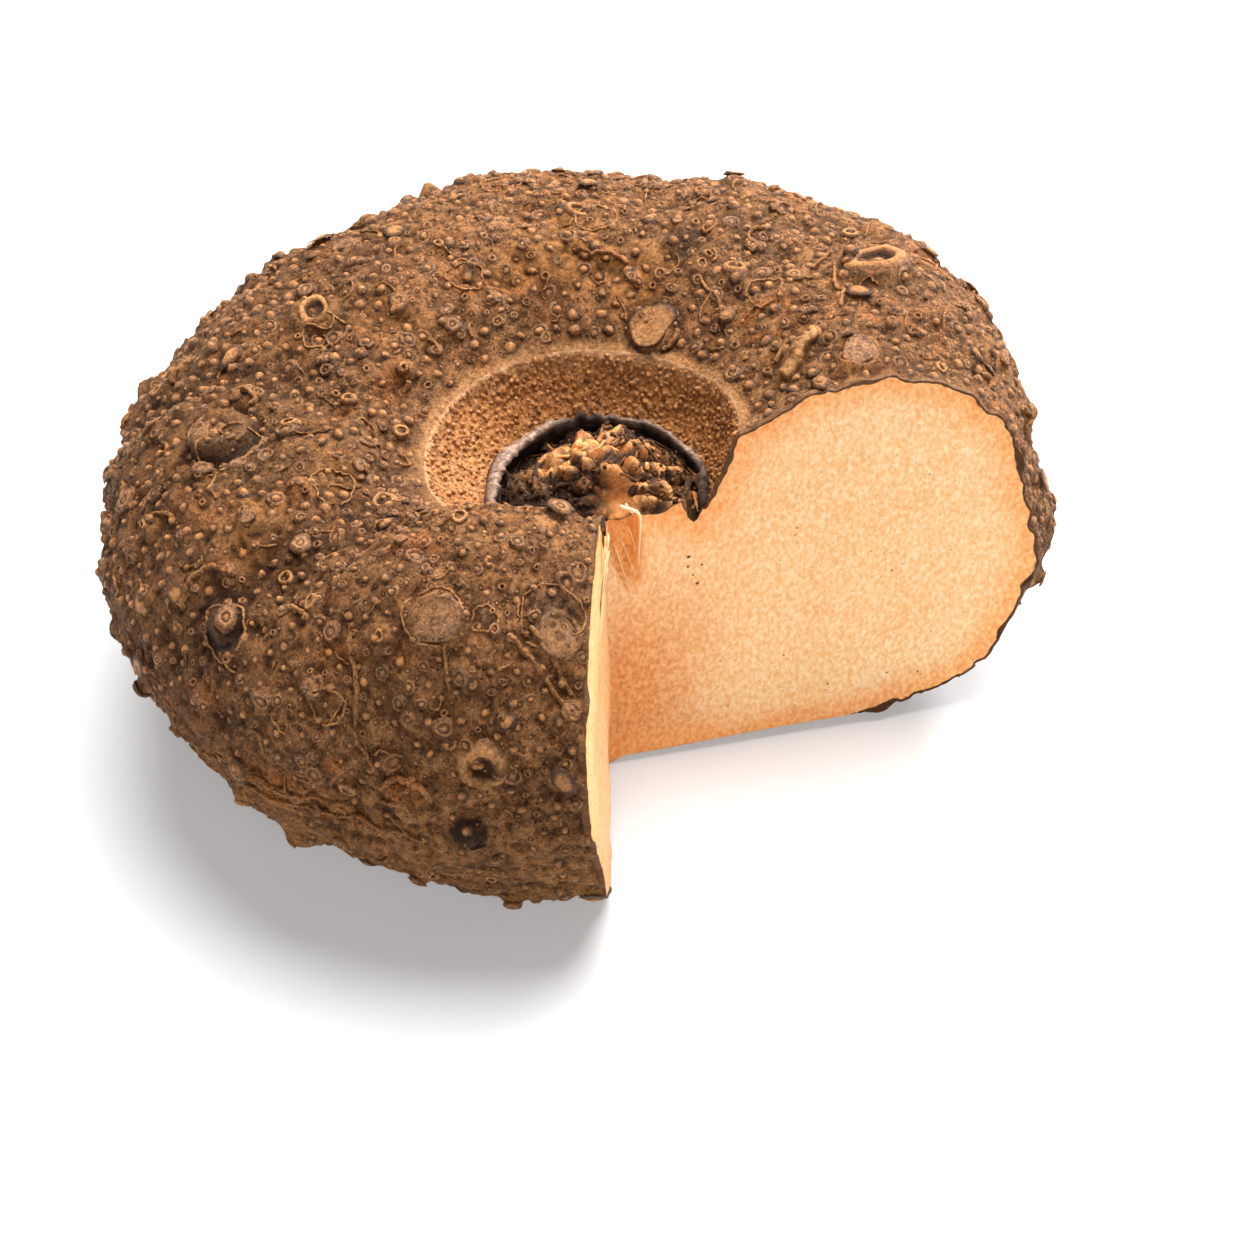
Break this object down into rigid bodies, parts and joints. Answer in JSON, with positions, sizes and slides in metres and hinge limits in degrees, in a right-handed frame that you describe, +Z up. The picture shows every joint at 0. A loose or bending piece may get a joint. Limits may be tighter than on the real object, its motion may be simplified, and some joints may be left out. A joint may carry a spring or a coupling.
{
  "type": "elephant foot yam",
  "caption": "big warty brown corm, wider than it is high, with a stalk crater on top and one wedge cut out down to the foot, showing its pale flesh",
  "frame": {"origin": "on the ground, under the middle of the corm's bounding box", "axes": "+Z up through the crater, +X towards the open side of the wedge and to the right in the picture, +Y away from the picture's viewer"},
  "size_m": [0.2553, 0.2431, 0.1186],
  "materials": {
    "skin": "matte",
    "flesh": "satin"
  },
  "bodies": {
    "root": {"corm": "skin"}
  },
  "joints": []
}
